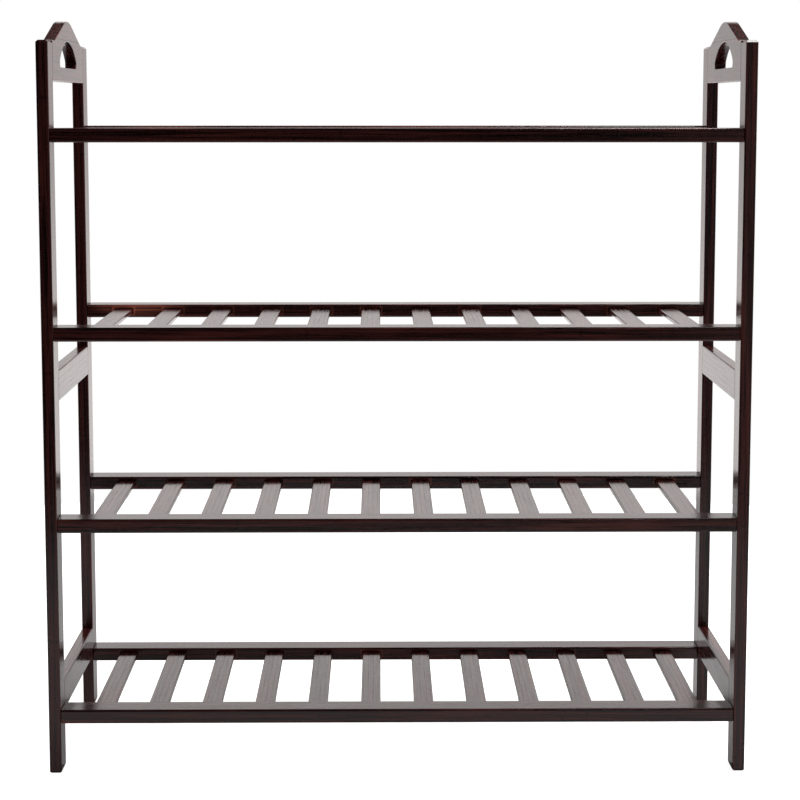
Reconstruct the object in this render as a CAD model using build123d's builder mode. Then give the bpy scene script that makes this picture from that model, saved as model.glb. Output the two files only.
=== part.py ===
from build123d import *
import math
import os

# Four-tier slatted shoe rack in dark lacquered bamboo.
#
# Two end frames carry four slatted shelves. An end frame is two upright posts, joined by a lower
# side rail, a middle side rail and an arched crosspiece with a hand hole, all on glued dowels.
# A shelf is a front rail and a rear rail with twelve slats let into mortises between them. One
# countersunk screw goes through a post into each end of each shelf rail.
#
# Millimetres, +Z up, +X to the right, -Y at the front. The origin is on the floor, at the centre
# of the footprint.

# ------------------------------------------------------------------ driving dimensions
rack_width = 700.0            # outer face to outer face of the posts, along X
rack_depth = 256.0            # front of the front posts to back of the rear posts, along Y
post_height = 731.0
peak_height = 753.5           # highest point of the arched crosspieces

frame_thickness = 12.0        # every end-frame piece, along X
stock_depth = 29.0            # posts and shelf rails, along Y

shelf_rail_height = 14.0
shelf_undersides = (51.0, 245.5, 437.0, 632.0)   # of the shelf rails, from the lowest shelf up

slat_count = 12
slat_pitch = 54.2
slat_width = 20.0
slat_thickness = 5.0
tenon_length = 8.0            # how far a slat enters each rail
mortise_play = 0.1            # glue gap on every side of a slat
mouth_gap = 1.2               # routed mouth of a mortise, beyond the slat on every side
mouth_depth = 1.5
mouth_corner = 2.0            # radius that the router leaves

side_rail_height = 31.0
lower_side_rail = 57.5        # underside of the lower side rails
middle_side_rail = 374.0      # underside of the middle side rails

crosspiece_bottom = 691.5
flank_angle = 17.0            # slope of the crosspiece's straight flanks, in degrees
nose_radius = 85.0            # rounding over the peak
cove_radius = 45.0            # hollow where a flank meets the level shoulder
hand_hole_bottom = 706.0
hand_hole_top = 732.5
hand_hole_arch = 80.0         # radius of the hand hole's arched top
hand_hole_corner = 4.5

arris = 1.2                   # easing of the long edges
shelf_rail_arris = 2.0
post_top_bevel = 2.2
foot_chamfer = 1.5
end_chamfer = 0.8             # shelf rail ends, where they meet the posts

# ------------------------------------------------------------------ fasteners
screw_length = 40.0
screw_radius = 2.5
screw_head_radius = 4.8
screw_head_sink = 0.3         # head below the post's outer face
screw_tip_length = 3.0
screw_clearance = 0.1         # radial, in the post and in the rail's pilot hole
socket_across_flats = 3.0
socket_depth = 1.8

dowel_radius = 3.0
dowel_length = 24.0
dowel_in_post = 10.0
dowel_clearance = 0.05        # radial
dowel_end_chamfer = 0.6

# ------------------------------------------------------------------ derived places
inner_x = rack_width / 2 - frame_thickness              # inner face of an end frame
frame_x = rack_width / 2 - frame_thickness / 2          # middle of an end frame
stock_y = rack_depth / 2 - stock_depth / 2              # middle of the posts and shelf rails
inner_y = rack_depth / 2 - stock_depth                  # inner face of posts and shelf rails
side_span = 2 * inner_y                                 # between the front and rear posts
shelf_length = 2 * inner_x                              # between the end frames
shelf_heights = [underside + shelf_rail_height / 2 for underside in shelf_undersides]

# Heights of the dowel pairs in each end-frame member, kept clear of the shelf screws.
lower_rail_dowels = (lower_side_rail + 9.5, lower_side_rail + 23.5)
middle_rail_dowels = (middle_side_rail + 8.5, middle_side_rail + 22.5)
crosspiece_dowels = (crosspiece_bottom + 8.0, crosspiece_bottom + 30.0)
all_dowels = lower_rail_dowels + middle_rail_dowels + crosspiece_dowels

sides = {"left": -1, "right": 1}
ends = {"front": -1, "rear": 1}


def save(builder, name):
    """Label a finished piece and write it to its own file."""
    builder.part.label = name
    export_step(builder.part, f"parts/{name}.step")


def dowel_mouths(side, end, heights, facing):
    """Planes at the joint between a post and a side member, looking out of the drilled piece."""
    mouth_y = end * inner_y
    return [Plane((side * frame_x, mouth_y, z), x_dir=(1, 0, 0), z_dir=(0, facing, 0)) for z in heights]


def screw_seats(side, end):
    """Planes on a post's outer face, one for each shelf, looking outwards."""
    seat_x = side * rack_width / 2
    return [Plane((seat_x, end * stock_y, z), x_dir=(0, 1, 0), z_dir=(side, 0, 0)) for z in shelf_heights]


# ------------------------------------------------------------------ end frames
def make_post(side, end, name):
    """Upright post with bevelled top, countersunk screw holes and blind dowel holes."""
    with BuildPart() as post:
        with BuildSketch(Plane.XY):
            with Locations((side * frame_x, end * stock_y)):
                Rectangle(frame_thickness, stock_depth)
        extrude(amount=post_height)
        # The top edge beside the crosspiece stays crisp, so that the two tops run together.
        top_edges = post.faces().sort_by(Axis.Z)[-1].edges()
        outer_edges = top_edges.filter_by(lambda edge: edge.center().Y * end > inner_y + arris)
        chamfer(outer_edges, length=post_top_bevel)
        chamfer(post.faces().sort_by(Axis.Z)[0].edges(), length=foot_chamfer)
        fillet(post.edges().filter_by(Axis.Z), radius=arris)
        with Locations(*screw_seats(side, end)):
            CounterSinkHole(
                radius=screw_radius + screw_clearance,
                counter_sink_radius=screw_head_radius + screw_head_sink + screw_clearance,
                depth=frame_thickness,
                counter_sink_angle=90,
            )
        with Locations(*dowel_mouths(side, end, all_dowels, facing=-end)):
            Hole(radius=dowel_radius + dowel_clearance, depth=dowel_in_post)
    save(post, name)


def drill_side_member(side, heights):
    """Cut the dowel holes in both ends of the side member that is being built."""
    for end in ends.values():
        with Locations(*dowel_mouths(side, end, heights, facing=end)):
            Hole(radius=dowel_radius + dowel_clearance, depth=dowel_length - dowel_in_post)


def make_side_rail(side, bottom, heights, name):
    """Straight rail between the front and rear posts of one end frame."""
    with BuildPart() as rail:
        with BuildSketch(Plane.XY.offset(bottom)):
            with Locations((side * frame_x, 0)):
                Rectangle(frame_thickness, side_span)
        extrude(amount=side_rail_height)
        fillet(rail.edges().filter_by(Axis.Y), radius=arris)
        drill_side_member(side, heights)
    save(rail, name)


def make_crosspiece(side, name):
    """Arched top board: level shoulders, hollow coves, straight flanks and a rounded peak."""
    slope = math.radians(flank_angle)
    flank_meeting = peak_height + nose_radius * (1 / math.cos(slope) - 1)
    cove_corner = (flank_meeting - post_height) / math.tan(slope)
    half_span = side_span / 2
    face_plane = Plane.YZ.offset(side * frame_x - frame_thickness / 2)
    arch_centre = hand_hole_top - hand_hole_arch
    half_chord = math.sqrt(hand_hole_arch**2 - (hand_hole_bottom - arch_centre) ** 2)

    with BuildPart() as crosspiece:
        with BuildSketch(face_plane):
            with BuildLine():
                outline = FilletPolyline(
                    (-half_span, post_height),
                    (-cove_corner, post_height),
                    (0, flank_meeting),
                    (cove_corner, post_height),
                    (half_span, post_height),
                    radius=[cove_radius, nose_radius, cove_radius],
                )
                Polyline(
                    outline @ 1,
                    (half_span, crosspiece_bottom),
                    (-half_span, crosspiece_bottom),
                    outline @ 0,
                )
            make_face()
        extrude(amount=frame_thickness)
        with BuildSketch(face_plane) as hand_hole:
            with BuildLine():
                arch = ThreePointArc(
                    (-half_chord, hand_hole_bottom),
                    (0, hand_hole_top),
                    (half_chord, hand_hole_bottom),
                )
                Line(arch @ 1, arch @ 0)
            make_face()
            fillet(hand_hole.vertices(), radius=hand_hole_corner)
        extrude(amount=frame_thickness, mode=Mode.SUBTRACT)
        # Ease every edge of the two broad faces, apart from the butted ends.
        broad_edges = crosspiece.faces().filter_by(Axis.X).edges()
        eased_edges = broad_edges.filter_by(lambda edge: abs(edge.center().Y) < half_span - arris)
        fillet(eased_edges, radius=arris)
        drill_side_member(side, crosspiece_dowels)
    save(crosspiece, name)


# ------------------------------------------------------------------ shelves
def make_shelf_rail(height, end, name):
    """Long rail of one shelf, with a wide-mouthed mortise for each slat and a pilot hole in each end."""
    with BuildPart() as rail:
        with BuildSketch(Plane.YZ):
            with Locations((end * stock_y, height)):
                Rectangle(stock_depth, shelf_rail_height)
        extrude(amount=shelf_length / 2, both=True)
        fillet(rail.edges().filter_by(Axis.X), radius=shelf_rail_arris)
        chamfer(rail.faces().filter_by(Axis.X).edges(), length=end_chamfer)
        inner_face = Plane((0, end * inner_y, height), x_dir=(1, 0, 0), z_dir=(0, -end, 0))
        with BuildSketch(inner_face):
            with GridLocations(slat_pitch, 0, slat_count, 1):
                RectangleRounded(slat_width + 2 * mouth_gap, slat_thickness + 2 * mouth_gap, mouth_corner)
        extrude(amount=-mouth_depth, mode=Mode.SUBTRACT)
        with BuildSketch(inner_face):
            with GridLocations(slat_pitch, 0, slat_count, 1):
                Rectangle(slat_width + 2 * mortise_play, slat_thickness + 2 * mortise_play)
        extrude(amount=-tenon_length, mode=Mode.SUBTRACT)
        pilot_depth = screw_length + screw_head_sink - frame_thickness
        for side in sides.values():
            mouth = Plane((side * inner_x, end * stock_y, height), x_dir=(0, 1, 0), z_dir=(side, 0, 0))
            with Locations(mouth):
                Hole(radius=screw_radius + screw_clearance, depth=pilot_depth)
    save(rail, name)


def make_slats(height, name):
    """The twelve slats of one shelf, each reaching the bottoms of its two mortises."""
    with BuildPart() as slats:
        with BuildSketch(Plane.XZ):
            with Locations((0, height)):
                with GridLocations(slat_pitch, 0, slat_count, 1):
                    RectangleRounded(slat_width, slat_thickness, arris)
        extrude(amount=inner_y + tenon_length, both=True)
    save(slats, name)


# ------------------------------------------------------------------ fasteners
def make_screws(side, name):
    """The eight socket-head wood screws of one end frame, heads sunk in the posts."""
    head_length = screw_head_radius - screw_radius
    shank_length = screw_length - head_length - screw_tip_length
    seats = [seat for end in ends.values() for seat in screw_seats(side, end)]
    heads = [seat.offset(-screw_head_sink) for seat in seats]
    with BuildPart() as screws:
        with Locations(*[head.offset(-head_length) for head in heads]):
            Cone(
                screw_radius,
                screw_head_radius,
                head_length,
                align=(Align.CENTER, Align.CENTER, Align.MIN),
            )
            Cylinder(screw_radius, shank_length, align=(Align.CENTER, Align.CENTER, Align.MAX))
        with Locations(*[head.offset(-head_length - shank_length) for head in heads]):
            Cone(
                screw_radius / 5,
                screw_radius,
                screw_tip_length,
                align=(Align.CENTER, Align.CENTER, Align.MAX),
            )
        with BuildSketch(*heads):
            RegularPolygon(socket_across_flats / 2, 6, major_radius=False)
        extrude(amount=-socket_depth, mode=Mode.SUBTRACT)
    save(screws, name)


def make_dowels(side, name):
    """The twelve glued dowels of one end frame, each partly in a post and partly in a side member."""
    with BuildPart() as dowels:
        for end in ends.values():
            post_bottoms = [mouth.offset(dowel_in_post) for mouth in dowel_mouths(side, end, all_dowels, end)]
            with Locations(*post_bottoms):
                Cylinder(dowel_radius, dowel_length, align=(Align.CENTER, Align.CENTER, Align.MAX))
        chamfer(dowels.edges().filter_by(GeomType.CIRCLE), length=dowel_end_chamfer)
    save(dowels, name)


# ------------------------------------------------------------------ the rack
os.makedirs("parts", exist_ok=True)

for side_name, side in sides.items():
    for end_name, end in ends.items():
        make_post(side, end, f"{side_name}_{end_name}_post")
    make_side_rail(side, lower_side_rail, lower_rail_dowels, f"{side_name}_lower_side_rail")
    make_side_rail(side, middle_side_rail, middle_rail_dowels, f"{side_name}_middle_side_rail")
    make_crosspiece(side, f"{side_name}_top_crosspiece")
    make_screws(side, f"{side_name}_shelf_screws")
    make_dowels(side, f"{side_name}_frame_dowels")

for number, height in enumerate(shelf_heights, start=1):
    for end_name, end in ends.items():
        make_shelf_rail(height, end, f"shelf_{number}_{end_name}_rail")
    make_slats(height, f"shelf_{number}_slats")
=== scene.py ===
"""Looks of the slatted shoe rack: dark stained bamboo under gloss lacquer, in a white studio.

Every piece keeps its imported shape. This script gives each one its material, and makes the camera,
the floor and the studio around the rack. Lengths are in metres.
"""

import math

import bpy
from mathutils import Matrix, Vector


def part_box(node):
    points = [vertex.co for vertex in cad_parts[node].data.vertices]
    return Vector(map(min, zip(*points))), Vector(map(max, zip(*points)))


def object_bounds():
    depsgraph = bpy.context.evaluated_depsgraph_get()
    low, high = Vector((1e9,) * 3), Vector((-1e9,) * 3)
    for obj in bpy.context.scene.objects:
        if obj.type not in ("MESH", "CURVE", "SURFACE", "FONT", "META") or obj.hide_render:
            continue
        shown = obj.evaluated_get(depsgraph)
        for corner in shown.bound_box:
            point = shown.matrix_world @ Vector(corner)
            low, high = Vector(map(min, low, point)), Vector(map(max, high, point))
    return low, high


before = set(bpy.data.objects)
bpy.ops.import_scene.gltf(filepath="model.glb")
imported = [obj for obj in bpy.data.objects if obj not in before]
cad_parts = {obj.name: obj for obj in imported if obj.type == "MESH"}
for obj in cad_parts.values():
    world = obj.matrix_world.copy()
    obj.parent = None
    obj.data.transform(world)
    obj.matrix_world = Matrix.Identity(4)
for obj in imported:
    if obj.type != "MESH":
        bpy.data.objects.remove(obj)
cad_low, cad_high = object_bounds()

MILLIMETRE = 0.001

# ------------------------------------------------------------------ camera
CAMERA_DISTANCE = 1.933          # in front of the rack's front posts
CAMERA_HEIGHT = 0.6673           # above the floor
CAMERA_SIDESTEP = -0.0172        # from the rack's mid-plane, to the left
CAMERA_PITCH = -6.40             # degrees, looking down
CAMERA_YAW = -0.58               # degrees, turned to the right
CAMERA_LENS = 89.08              # millimetres
CAMERA_SENSOR = 36.0             # millimetres, its width
CAMERA_RISE = -0.090             # lens shift, in frame widths

# ------------------------------------------------------------------ studio
# Luminance of the lit backdrop behind the rack, below, at and above the horizon. Each pair gives where
# a change starts and ends, on the axes of a unit vector: Z up, Y towards the rear, X to the right.
BACKDROP_BELOW, BACKDROP_LEVEL, BACKDROP_ABOVE = 1.32, 0.82, 1.24
BACKDROP_DIM = (-0.14, 0.00)
BACKDROP_BRIGHTEN = (0.12, 0.25)
BACKDROP_TOP = (0.30, 0.44)          # its upper edge fades out
BACKDROP_SIDE = (0.10, 0.50)         # and its left and right edges, along Y
STUDIO_TINT = (1.0, 0.955, 0.940)    # a little warm
ROOM_LIGHT = 0.05                # luminance of the room overhead
ROOM_LIGHT_LEFT = 0.02           # and lower down on its left
ROOM_LIGHT_RIGHT = 0.30          # and on its right
ROOM_BRIGHTEN = (0.12, 0.24)     # from left to right, along X
ROOM_OVERHEAD = (0.2, 0.6)       # up to the overhead part, along Z
# Soft lights: name, place, width and height, power in watts.
SOFT_LIGHTS = [
    ("overhead_light", (0.74, 0.05, 2.60), (0.6, 0.9), 27.0),
    ("right_light", (2.00, 0.40, 1.60), (1.0, 1.0), 24.0),
    ("left_light", (-2.00, 0.40, 1.60), (1.0, 1.0), 22.0),
]
FLOOR_RADIUS = 1.35
FLOOR_SIDES = 96
FLOOR_WHITE = 0.74
FLOOR_LIFT = 0.95                # extra light on the floor where the camera sees it directly

# ------------------------------------------------------------------ bamboo and its stain
STAIN_DEEP = (0.0050, 0.0012, 0.0011)
STAIN_MIDDLE = (0.1000, 0.0230, 0.0210)
STAIN_THIN = (0.3400, 0.0750, 0.0480)
# Orange of bare bamboo. It serves for rubbed-off stain and also for the painted pools of light on the rear
# rails.
BARE_BAMBOO_AND_PAINTED_LIGHT = (0.9500, 0.2800, 0.1800)

# Width across the fibres and length along them.
FIBRE_SIZE = (0.7 * MILLIMETRE, 0.05)
STREAK_SIZE = (2.4 * MILLIMETRE, 0.16)
CLOUD_SIZE = (0.022, 0.13)
SWELL_SIZE = 7.0 * MILLIMETRE    # the same every way
KNUCKLE_SPACING = 0.27
KNUCKLE_SCATTER = 7.0            # spacings over which the strips' knuckles are strewn
KNUCKLE_CORE, KNUCKLE_EDGE = 0.5 * MILLIMETRE, 2.2 * MILLIMETRE     # from the middle of the band

# Height of each kind of relief under the lacquer.
FIBRE_RELIEF = 0.010 * MILLIMETRE
STREAK_RELIEF = 0.045 * MILLIMETRE
CLOUD_RELIEF = 0.15 * MILLIMETRE
SWELL_RELIEF = 0.09 * MILLIMETRE
KNUCKLE_RELIEF = 0.02 * MILLIMETRE
GLUE_LINE_DEPTH = 0.02 * MILLIMETRE
GLUE_LINE_CORE = 0.05 * MILLIMETRE   # half width of its darkest part

LACQUER_ROUGHNESS = (0.12, 0.26)     # over closed and over open fibres
WORN_ROUGHNESS = 0.12                # added on the rubbed edges
GLUE_LINE_ROUGHNESS = 0.10           # added on the glue lines

# ------------------------------------------------------------------ mortises
SLAT_COUNT = 12
SLAT_WIDTH = 0.020
SLAT_THICKNESS = 0.005
MOUTH_GAP = 0.0012               # from a slat to the rim of its mortise
RIM_WIDTH = 2.4 * MILLIMETRE
RAIL_FACE_DEPTH = (1.0 * MILLIMETRE, 2.0 * MILLIMETRE)     # where the marks fade out, into the rail
LEVELS_PER_METRE = 10.0          # fine enough to tell the shelves apart
# Painted pools of light on the rear rails' front faces, lightening them towards bare bamboo: shelf, distance
# from the rail's left end, and strength.
PAINTED_LIGHT_PATCHES = [(3, 0.055, 1.0), (4, 0.085, 0.25)]
LIGHT_PATCH_CORE, LIGHT_PATCH_REACH = 0.015, 0.060      # full strength within the one, none past the other
LIGHT_PATCH_FLATNESS = 4.0        # times longer than high


class Graph:
    """Short ways to add and join the nodes of one material or world."""

    def __init__(self, owner):
        owner.use_nodes = True
        self.tree = owner.node_tree
        self.tree.nodes.clear()

    def add(self, kind, inputs=None, **settings):
        """A node with its settings, and its inputs set or linked by name or number."""
        node = self.tree.nodes.new(kind)
        for setting, value in settings.items():
            setattr(node, setting, value)
        for key, value in (inputs or {}).items():
            self.feed(node.inputs[key], value)
        return node

    def feed(self, socket, value):
        """Link an output socket to an input, or set the input to a plain value."""
        if isinstance(value, bpy.types.NodeSocket):
            self.tree.links.new(value, socket)
        elif value is not None:
            socket.default_value = value

    def math(self, operation, a, b=None, c=None, clamp=False):
        """The result of one arithmetic step."""
        node = self.add("ShaderNodeMath", {0: a, 1: b}, operation=operation, use_clamp=clamp)
        if c is not None:
            self.feed(node.inputs[2], c)
        return node.outputs[0]

    def blend(self, factor, low, high):
        """A colour between low and high."""
        low, high = [(*c, 1.0) if isinstance(c, tuple) else c for c in (low, high)]
        inputs = {"Factor": factor, 6: low, 7: high}
        return self.add("ShaderNodeMix", inputs, data_type="RGBA").outputs[2]

    def mix(self, factor, low, high):
        """A number between low and high."""
        return self.add("ShaderNodeMix", {"Factor": factor, 2: low, 3: high}).outputs[0]

    def ramp(self, value, start, end, low=0.0, high=1.0):
        """Smooth step of value, from low at start to high at end."""
        inputs = {"Value": value, 1: start, 2: end, 3: low, 4: high}
        return self.add("ShaderNodeMapRange", inputs, interpolation_type="SMOOTHSTEP").outputs[0]

    def join(self, x, y, z):
        """A vector from its three parts."""
        return self.add("ShaderNodeCombineXYZ", {0: x, 1: y, 2: z}).outputs[0]

    def noise(self, place, size, detail=2.0, roughness=0.5):
        """Smooth noise from 0 to 1, with features of about the given size."""
        inputs = {"Vector": place, "Scale": 1 / size, "Detail": detail, "Roughness": roughness}
        return self.add("ShaderNodeTexNoise", inputs).outputs["Fac"]


class Grain:
    """Coordinates of one kind of bamboo board: along the fibres, across the strips and through the plies."""

    def __init__(self, graph, along, across, through):
        self.graph = graph
        coordinates = graph.add("ShaderNodeTexCoord")
        place = graph.add("ShaderNodeSeparateXYZ", {0: coordinates.outputs["Object"]})
        facing = graph.add("ShaderNodeSeparateXYZ", {0: coordinates.outputs["Normal"]})
        self.place = coordinates.outputs["Object"]
        self.along, self.across, self.through = [place.outputs[axis] for axis in (along, across, through)]
        self.facing = {axis: graph.math("ABSOLUTE", facing.outputs[axis]) for axis in "XYZ"}

    def streaks(self, width, length, detail=2.0, roughness=0.5):
        """Noise drawn out along the fibres."""
        drawn_out = self.graph.math("MULTIPLY", self.along, width / length)
        place = self.graph.join(drawn_out, self.across, self.through)
        return self.graph.noise(place, width, detail, roughness)

    def strips(self, width, thickness):
        """A random number for each laminated strip, and the distance to its nearest glue line."""
        g = self.graph
        cells = [g.math("DIVIDE", self.across, width), g.math("DIVIDE", self.through, thickness)]
        numbers = [g.math("FLOOR", cell) for cell in cells]
        chance = g.add("ShaderNodeTexWhiteNoise", {"Vector": g.join(*numbers, 0.0)}, noise_dimensions="3D")
        gaps = []
        for cell, size in zip(cells, (width, thickness)):
            from_middle = g.math("ABSOLUTE", g.math("SUBTRACT", g.math("FRACT", cell), 0.5))
            gaps.append(g.math("MULTIPLY", g.math("SUBTRACT", 0.5, from_middle), size))
        return chance.outputs["Value"], g.math("MINIMUM", *gaps)

    def knuckles(self, chance):
        """1 on the thin cross-bands where the bamboo cane had its joints, at its own place on each strip."""
        g = self.graph
        offset = g.math("MULTIPLY", chance, KNUCKLE_SCATTER)
        turns = g.math("ADD", g.math("DIVIDE", self.along, KNUCKLE_SPACING), offset)
        from_band = g.math("ABSOLUTE", g.math("SUBTRACT", g.math("FRACT", turns), 0.5))
        distance = g.math("MULTIPLY", from_band, KNUCKLE_SPACING)
        return g.ramp(distance, KNUCKLE_CORE, KNUCKLE_EDGE, 1.0, 0.0)

    def arris(self, axis):
        """1 on the rounded edges between the faces that look along axis and the others."""
        g = self.graph
        lean = self.facing[axis]
        return g.math("MULTIPLY", g.ramp(lean, 0.08, 0.35), g.ramp(lean, 0.90, 0.99, 1.0, 0.0))


def lacquered_bamboo(name, along, across, through, arris_axis, strip, ply, thin_stain, seam=0.35, marks=None):
    """Stained and lacquered laminated bamboo, with its fibres along one axis.

    strip and ply are the width and thickness of the laminated strips, and seam is half the width of a
    glue line, all in millimetres. thin_stain is how much shows where the stain went on thin. marks, if
    given, returns how far the colour goes to bare bamboo: where its stain has rubbed off, and where a
    pool of light is painted.
    """
    material = bpy.data.materials.new(name)
    g = Graph(material)
    grain = Grain(g, along, across, through)
    chance, glue_gap = grain.strips(strip * MILLIMETRE, ply * MILLIMETRE)
    fibres = grain.streaks(*FIBRE_SIZE, detail=3.0, roughness=0.6)
    streaks = grain.streaks(*STREAK_SIZE, detail=2.0)
    clouds = grain.streaks(*CLOUD_SIZE, detail=2.0)
    knuckle = grain.knuckles(chance)
    swells = g.noise(grain.place, SWELL_SIZE, detail=2.0)
    glue_line = g.ramp(glue_gap, GLUE_LINE_CORE, seam * MILLIMETRE, 1.0, 0.0)
    patchy = g.math("MULTIPLY", g.ramp(streaks, 0.45, 0.62), g.ramp(clouds, 0.50, 0.66))
    worn = g.math("MULTIPLY", grain.arris(arris_axis), patchy)

    # Stain: dark fibres, a tone for each strip, and red-brown wherever it went on thin.
    strip_tone = g.math("MULTIPLY", g.math("SUBTRACT", chance, 0.5), 0.40)
    tone = g.math("MULTIPLY_ADD", g.ramp(streaks, 0.40, 0.60), 0.65, strip_tone)
    tone = g.math("MULTIPLY_ADD", g.ramp(fibres, 0.42, 0.62), 0.55, tone, clamp=True)
    colour = g.blend(tone, STAIN_DEEP, STAIN_MIDDLE)
    thin = g.math("MULTIPLY", g.ramp(clouds, 0.50, 0.75), g.ramp(streaks, 0.42, 0.68))
    thin = g.math("MULTIPLY_ADD", thin, thin_stain, g.math("MULTIPLY", worn, 0.30), clamp=True)
    colour = g.blend(thin, colour, STAIN_THIN)
    colour = g.blend(g.math("MULTIPLY", knuckle, 0.4), colour, STAIN_DEEP)
    colour = g.blend(g.math("MULTIPLY", glue_line, 0.6), colour, STAIN_DEEP)
    # Bare bamboo where the stain has rubbed off, and painted pools of light on the rear rails, in the same
    # orange.
    if marks:
        colour = g.blend(marks(g, grain, streaks), colour, BARE_BAMBOO_AND_PAINTED_LIGHT)

    # Lacquer: gloss that dulls a little over open fibres and on the rubbed edges.
    gloss = g.ramp(fibres, 0.3, 0.8, *LACQUER_ROUGHNESS)
    roughness = g.math("MULTIPLY_ADD", worn, WORN_ROUGHNESS, gloss)
    roughness = g.math("MULTIPLY_ADD", glue_line, GLUE_LINE_ROUGHNESS, roughness)

    # Relief under the lacquer, from the finest fibres to the slight waviness of each board.
    relief = g.math("MULTIPLY", fibres, FIBRE_RELIEF)
    relief = g.math("MULTIPLY_ADD", streaks, STREAK_RELIEF, relief)
    relief = g.math("MULTIPLY_ADD", clouds, CLOUD_RELIEF, relief)
    relief = g.math("MULTIPLY_ADD", swells, SWELL_RELIEF, relief)
    relief = g.math("MULTIPLY_ADD", glue_line, -GLUE_LINE_DEPTH, relief)
    relief = g.math("MULTIPLY_ADD", knuckle, KNUCKLE_RELIEF, relief)
    bump = g.add("ShaderNodeBump", {"Strength": 1.0, "Distance": 1.0, "Height": relief})

    inputs = {"Base Color": colour, "Roughness": roughness, "Normal": bump.outputs[0], "IOR": 1.5}
    shader = g.add("ShaderNodeBsdfPrincipled", inputs)
    g.add("ShaderNodeOutputMaterial", {"Surface": shader.outputs[0]})
    return material


def rail_wear_and_painted_light(g, grain, streaks):
    """Where the shelf rails' stain has rubbed off at the rims of some mortises, and two painted pools of
    light at the left of the rear rails.
    """
    first_low, first_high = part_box("shelf_1_slats")
    pitch = (first_high.x - first_low.x - SLAT_WIDTH) / (SLAT_COUNT - 1)
    inner_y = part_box("shelf_1_rear_rail")[0].y
    x, y, z = grain.along, grain.across, grain.through

    slat_number = g.math("DIVIDE", x, pitch)
    from_slat = g.math("ABSOLUTE", g.math("SUBTRACT", g.math("FRACT", slat_number), 0.5))
    beside = g.math("SUBTRACT", g.math("MULTIPLY", from_slat, pitch), SLAT_WIDTH / 2 + MOUTH_GAP)
    levels = [sum(corner.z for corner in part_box(f"shelf_{n}_slats")) / 2 for n in (1, 2, 3, 4)]
    heights = [g.math("ABSOLUTE", g.math("SUBTRACT", z, level)) for level in levels]
    height = g.math("MINIMUM", g.math("MINIMUM", *heights[:2]), g.math("MINIMUM", *heights[2:]))
    above = g.math("SUBTRACT", height, SLAT_THICKNESS / 2 + MOUTH_GAP)
    outside = g.math("MAXIMUM", beside, above)
    rim_shape = g.ramp(outside, 0.0, RIM_WIDTH, 1.0, 0.0)
    depth = g.math("SUBTRACT", g.math("ABSOLUTE", y), inner_y)
    on_face = g.ramp(depth, *RAIL_FACE_DEPTH, 1.0, 0.0)
    level_number = g.math("ROUND", g.math("MULTIPLY", z, LEVELS_PER_METRE))
    cell = g.join(g.math("FLOOR", slat_number), level_number, g.math("SIGN", y))
    chance = g.add("ShaderNodeTexWhiteNoise", {"Vector": cell}, noise_dimensions="3D").outputs["Value"]
    rim = g.math("MULTIPLY", rim_shape, g.ramp(chance, 0.20, 1.0, 0.02, 0.22))

    # Painted pools of light: lighter patches near the left end of two rear rails, which also strengthen the
    # mortise rims there.
    painted_light_patches = 0.0
    flattened = g.join(x, y, g.math("MULTIPLY", z, LIGHT_PATCH_FLATNESS))
    for shelf, middle, strength in PAINTED_LIGHT_PATCHES:
        low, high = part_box(f"shelf_{shelf}_rear_rail")
        centre = (low.x + middle, low.y, high.z * LIGHT_PATCH_FLATNESS)
        away = g.add("ShaderNodeVectorMath", {0: flattened, 1: centre}, operation="DISTANCE").outputs["Value"]
        painted_light_patches = g.math("ADD", painted_light_patches, g.ramp(away, LIGHT_PATCH_CORE, LIGHT_PATCH_REACH, strength, 0.0))
    patchy = g.math("MULTIPLY", painted_light_patches, g.ramp(streaks, 0.30, 0.60, 0.20, 0.75))
    rim = g.math("MULTIPLY_ADD", rim_shape, painted_light_patches, rim)
    return g.math("MULTIPLY", g.math("ADD", rim, patchy, clamp=True), on_face)


def zinc_plated_steel():
    """Bright screws with faint turning marks and a little dulled plating."""
    material = bpy.data.materials.new("zinc_plated_steel")
    g = Graph(material)
    place = g.add("ShaderNodeTexCoord").outputs["Object"]
    brushed = g.noise(place, 0.25 * MILLIMETRE, detail=3.0)
    stains = g.noise(place, 3.0 * MILLIMETRE, detail=2.0)
    colour = g.blend(g.ramp(stains, 0.35, 0.7), (0.36, 0.34, 0.31), (0.58, 0.56, 0.52))
    roughness = g.ramp(brushed, 0.3, 0.7, 0.24, 0.42)
    height = g.math("MULTIPLY", brushed, 0.004 * MILLIMETRE)
    bump = g.add("ShaderNodeBump", {"Strength": 1.0, "Distance": 1.0, "Height": height})
    inputs = {"Base Color": colour, "Metallic": 1.0, "Roughness": roughness, "Normal": bump.outputs[0]}
    shader = g.add("ShaderNodeBsdfPrincipled", inputs)
    g.add("ShaderNodeOutputMaterial", {"Surface": shader.outputs[0]})
    return material


def raw_beech():
    """Unfinished dowels: pale wood with short dark flecks along Y."""
    material = bpy.data.materials.new("raw_beech")
    g = Graph(material)
    grain = Grain(g, "Y", "X", "Z")
    flecks = grain.streaks(0.35 * MILLIMETRE, 0.004, detail=2.0)
    colour = g.blend(g.ramp(flecks, 0.45, 0.7), (0.58, 0.40, 0.24), (0.34, 0.20, 0.11))
    height = g.math("MULTIPLY", flecks, 0.02 * MILLIMETRE)
    bump = g.add("ShaderNodeBump", {"Strength": 1.0, "Distance": 1.0, "Height": height})
    roughness = g.ramp(flecks, 0.3, 0.7, 0.55, 0.75)
    inputs = {"Base Color": colour, "Roughness": roughness, "Normal": bump.outputs[0]}
    shader = g.add("ShaderNodeBsdfPrincipled", inputs)
    g.add("ShaderNodeOutputMaterial", {"Surface": shader.outputs[0]})
    return material


def dress(materials):
    """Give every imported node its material, by the end of its name."""
    for name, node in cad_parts.items():
        ending = next(ending for ending in materials if name.endswith(ending))
        node.data.materials.clear()
        node.data.materials.append(materials[ending])


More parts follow.
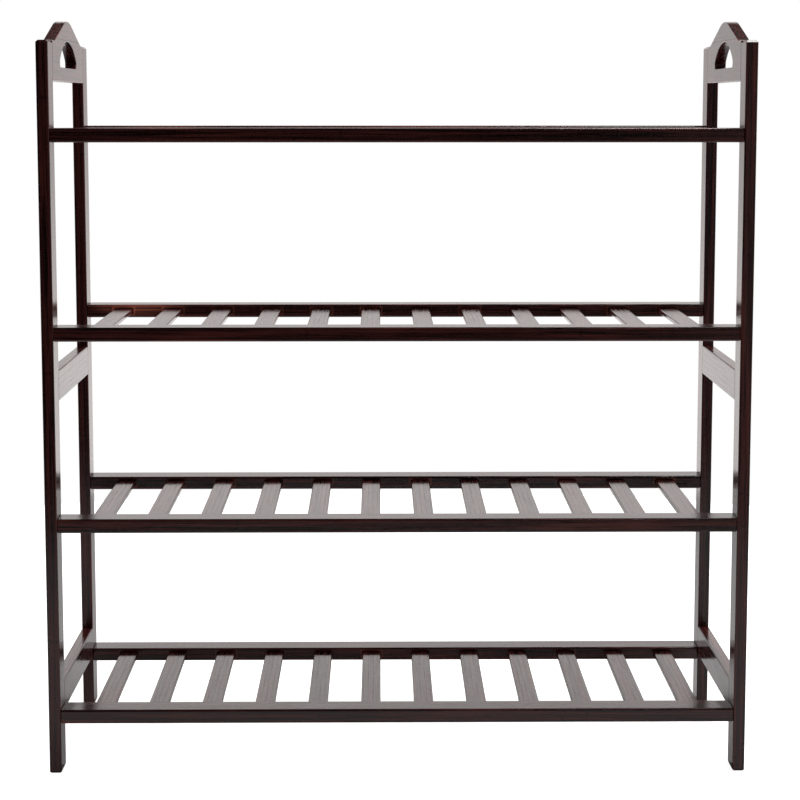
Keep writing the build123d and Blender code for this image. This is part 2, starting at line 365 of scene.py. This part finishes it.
def make_camera():
    """A camera in front of the rack, a little below its top and looking slightly down."""
    camera_data = bpy.data.cameras.new("camera")
    camera_data.sensor_width = CAMERA_SENSOR
    camera_data.lens = CAMERA_LENS
    camera_data.shift_y = CAMERA_RISE
    camera = bpy.data.objects.new("camera", camera_data)
    camera.location = (CAMERA_SIDESTEP, cad_low.y - CAMERA_DISTANCE, cad_low.z + CAMERA_HEIGHT)
    camera.rotation_euler = (math.radians(90 + CAMERA_PITCH), 0, math.radians(CAMERA_YAW))
    bpy.context.scene.collection.objects.link(camera)
    bpy.context.scene.camera = camera


def make_floor():
    """A round pale floor under the rack, with faint shadows."""
    material = bpy.data.materials.new("studio_floor")
    g = Graph(material)
    seen = g.add("ShaderNodeLightPath").outputs["Is Camera Ray"]
    inputs = {
        "Base Color": (FLOOR_WHITE, FLOOR_WHITE, FLOOR_WHITE, 1.0),
        "Roughness": 0.6,
        "Specular IOR Level": 0.1,
        "Emission Color": (1.0, 1.0, 1.0, 1.0),
        "Emission Strength": g.math("MULTIPLY", seen, FLOOR_LIFT),
    }
    shader = g.add("ShaderNodeBsdfPrincipled", inputs)
    g.add("ShaderNodeOutputMaterial", {"Surface": shader.outputs[0]})

    angles = [2 * math.pi * i / FLOOR_SIDES for i in range(FLOOR_SIDES)]
    rim = [(FLOOR_RADIUS * math.cos(a), FLOOR_RADIUS * math.sin(a), cad_low.z) for a in angles]
    mesh = bpy.data.meshes.new("studio_floor")
    mesh.from_pydata(rim, [], [list(range(FLOOR_SIDES))])
    mesh.materials.append(material)
    floor = bpy.data.objects.new("studio_floor", mesh)
    bpy.context.scene.collection.objects.link(floor)


def make_world():
    """A lit white backdrop behind the rack, up to a little above it, in a dim room."""
    world = bpy.data.worlds.new("studio")
    bpy.context.scene.world = world
    g = Graph(world)
    direction = g.add("ShaderNodeTexCoord").outputs["Generated"]
    toward = g.add("ShaderNodeSeparateXYZ", {0: direction})
    x, y, z = [toward.outputs[axis] for axis in "XYZ"]
    room = g.ramp(x, *ROOM_BRIGHTEN, ROOM_LIGHT_LEFT, ROOM_LIGHT_RIGHT)
    room = g.mix(g.ramp(z, *ROOM_OVERHEAD), room, ROOM_LIGHT)
    backdrop = g.ramp(z, *BACKDROP_DIM, BACKDROP_BELOW, BACKDROP_LEVEL)
    backdrop = g.mix(g.ramp(z, *BACKDROP_BRIGHTEN), backdrop, BACKDROP_ABOVE)
    behind = g.math("MULTIPLY", g.ramp(y, *BACKDROP_SIDE), g.ramp(z, *BACKDROP_TOP, 1.0, 0.0))
    level = g.mix(behind, room, backdrop)
    lit = g.add("ShaderNodeBackground", {"Color": (*STUDIO_TINT, 1.0), "Strength": level})
    white = g.add("ShaderNodeBackground", {"Color": (1.0, 1.0, 1.0, 1.0), "Strength": 1.0})
    seen = g.add("ShaderNodeLightPath").outputs["Is Camera Ray"]
    shader = g.add("ShaderNodeMixShader", {0: seen, 1: lit.outputs[0], 2: white.outputs[0]})
    g.add("ShaderNodeOutputWorld", {"Surface": shader.outputs[0]})
    bpy.context.scene.view_settings.view_transform = "Standard"


def make_light(name, place, size, power, target):
    """A soft rectangular light that faces its target."""
    light_data = bpy.data.lights.new(name, "AREA")
    light_data.shape = "RECTANGLE"
    light_data.size, light_data.size_y = size
    light_data.energy = power
    light = bpy.data.objects.new(name, light_data)
    light.location = place
    light.rotation_euler = (Vector(target) - Vector(place)).to_track_quat("-Z", "Y").to_euler()
    bpy.context.scene.collection.objects.link(light)


make_camera()
make_floor()
make_world()
rack_middle = (cad_low + cad_high) / 2
for light_name, place, size, power in SOFT_LIGHTS:
    make_light(light_name, place, size, power, rack_middle)
dress({
    "_post": lacquered_bamboo(
        "upright_bamboo", "Z", "Y", "X", "X", strip=5.7, ply=6.0, thin_stain=0.35
    ),
    "_side_rail": lacquered_bamboo(
        "side_rail_bamboo", "Y", "Z", "X", "X", strip=6.2, ply=6.0, thin_stain=0.25
    ),
    "_top_crosspiece": lacquered_bamboo(
        "crosspiece_bamboo", "Y", "Z", "X", "X", strip=45.88, ply=6.0, thin_stain=0.2, seam=0.9
    ),
    "_rail": lacquered_bamboo(
        "shelf_rail_bamboo", "X", "Y", "Z", "Z", strip=5.7, ply=7.0, thin_stain=0.25, marks=rail_wear_and_painted_light
    ),
    "_slats": lacquered_bamboo(
        "slat_bamboo", "Y", "X", "Z", "Z", strip=5.0, ply=31.0, thin_stain=0.20
    ),
    "_screws": zinc_plated_steel(),
    "_dowels": raw_beech(),
})
